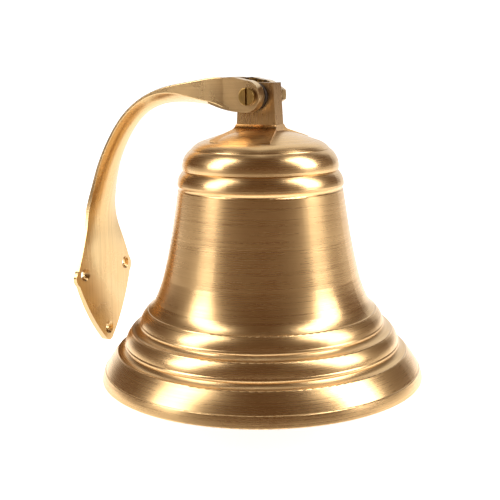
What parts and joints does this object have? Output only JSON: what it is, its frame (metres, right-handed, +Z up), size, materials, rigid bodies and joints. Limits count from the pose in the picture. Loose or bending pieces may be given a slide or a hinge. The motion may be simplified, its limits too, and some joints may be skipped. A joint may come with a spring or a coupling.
{
  "type": "ship bell",
  "caption": "Brass ship bell hung by its lug in the forked end of a curved wall bracket, with a swinging clapper inside.",
  "frame": {"origin": "on the wall plane at the back of the wall plate, in the middle of its circle of screw holes", "axes": "+Z up, +X away from the wall towards the bell, Y along the pivot screw"},
  "size_m": [0.28, 0.254, 0.2332],
  "materials": {
    "satin_brass": "lathe-turned satin brass",
    "cast_brass": "linished cast brass",
    "turned_brass": "turned brass",
    "dark_fibre": "dark vulcanised fibre"
  },
  "bodies": {
    "bracket": {"bracket_arm": "cast_brass", "pivot_screw": "turned_brass", "friction_washer_front": "dark_fibre", "friction_washer_rear": "dark_fibre", "nut_washer": "turned_brass", "pivot_nut": "turned_brass", "pivot_lock_nut": "turned_brass"},
    "bell": {"bell_shell": "satin_brass", "clapper_staple": "turned_brass", "staple_washer": "turned_brass", "staple_jam_nut": "turned_brass"},
    "shackle": {"clapper_shackle": "turned_brass", "shackle_pin": "turned_brass"},
    "clapper": {"clapper_rod": "turned_brass", "clapper_ball": "turned_brass", "clapper_tail_eye": "turned_brass"}
  },
  "joints": [
    {"name": "bell_swing", "type": "hinge", "parent": "bracket", "child": "bell", "pos_m": [0.153, 0, 0.1645], "axis": [0, -1, 0], "range_deg": [-4.5, 40]},
    {"name": "shackle_rock", "type": "hinge", "parent": "bell", "child": "shackle", "pos_m": [0.153, 0, 0.0965], "axis": [1, 0, 0], "range_deg": [-5, 5]},
    {"name": "clapper_swing", "type": "hinge", "parent": "shackle", "child": "clapper", "pos_m": [0.153, 0, 0.0835], "axis": [0, 1, 0], "range_deg": [-35, 35]}
  ]
}
